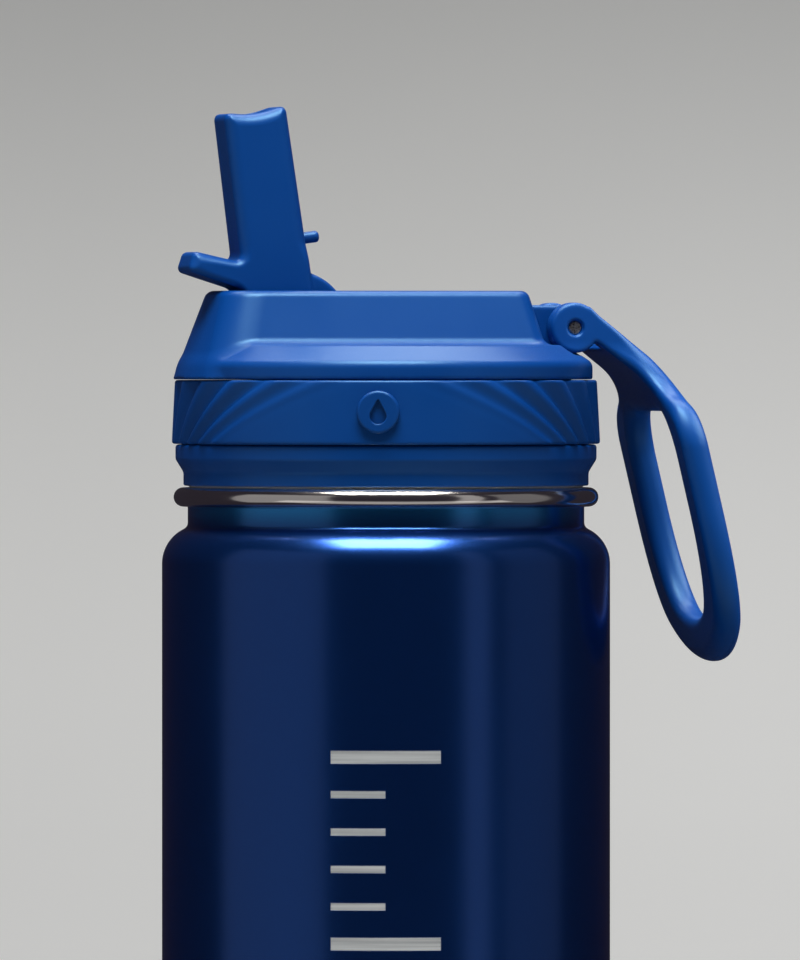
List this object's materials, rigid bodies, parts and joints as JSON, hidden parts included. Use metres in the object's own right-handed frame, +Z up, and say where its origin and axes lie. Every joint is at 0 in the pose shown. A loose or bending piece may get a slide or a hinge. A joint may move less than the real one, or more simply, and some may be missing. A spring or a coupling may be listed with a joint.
{
  "type": "water bottle",
  "caption": "Insulated steel bottle with a screw lid, a fold-down drinking spout with thumb tab, an inner straw and a swinging carry loop.",
  "frame": {"origin": "centre of the base, on the bottle's axis, at the surface it stands on", "axes": "+Z up along the bottle's axis; +X towards the handle; -Y towards the badge, which is turned 16 degrees from -Y towards -X"},
  "size_m": [0.094, 0.073, 0.2884],
  "materials": {
    "navy_lacquer": "gloss",
    "polished_steel": "polished",
    "brushed_steel": "brushed",
    "blue_plastic": "satin",
    "base_rubber": "matt",
    "silicone": "matt",
    "clear_plastic": "translucent",
    "seal_glass": "glassy",
    "getter_alloy": "sintered"
  },
  "bodies": {
    "bottle": {"outer_shell": "navy_lacquer", "inner_liner": "polished_steel", "base_plate": "brushed_steel", "base_cover": "base_rubber", "vacuum_seal": "seal_glass", "getter": "getter_alloy"},
    "gasket": {"lid_gasket": "silicone"},
    "lid": {"lid_base": "blue_plastic", "plug_cover": "blue_plastic", "grip_band": "blue_plastic", "badge": "blue_plastic", "lid_housing": "blue_plastic", "vent_valve": "silicone", "spout_seal": "silicone", "spout_pins": "brushed_steel", "straw_bushing": "silicone", "straw": "clear_plastic"},
    "spout": {"spout": "blue_plastic"},
    "handle": {"handle_loop": "blue_plastic", "handle_pin": "brushed_steel"}
  },
  "joints": [
    {"name": "lid_rise", "type": "slide", "parent": "bottle", "child": "gasket", "axis": [0, 0, 1], "range_m": [0, 0.0081]},
    {"name": "lid_turn", "type": "hinge", "parent": "gasket", "child": "lid", "pos_m": [0, 0, 0.226], "axis": [0, 0, 1], "range_deg": [0, 720]},
    {"name": "spout_flip", "type": "hinge", "parent": "lid", "child": "spout", "pos_m": [-0.01633, 0, 0.252], "axis": [0, 1, 0], "range_deg": [0, 97.7]},
    {"name": "handle_swing", "type": "hinge", "parent": "lid", "child": "handle", "pos_m": [0.0296, 0, 0.252], "axis": [0, -1, 0], "range_deg": [0, 150]}
  ],
  "couplings": [
    {"joint": "lid_rise", "follows": "lid_turn", "m_per_rad": 0.00063662}
  ]
}
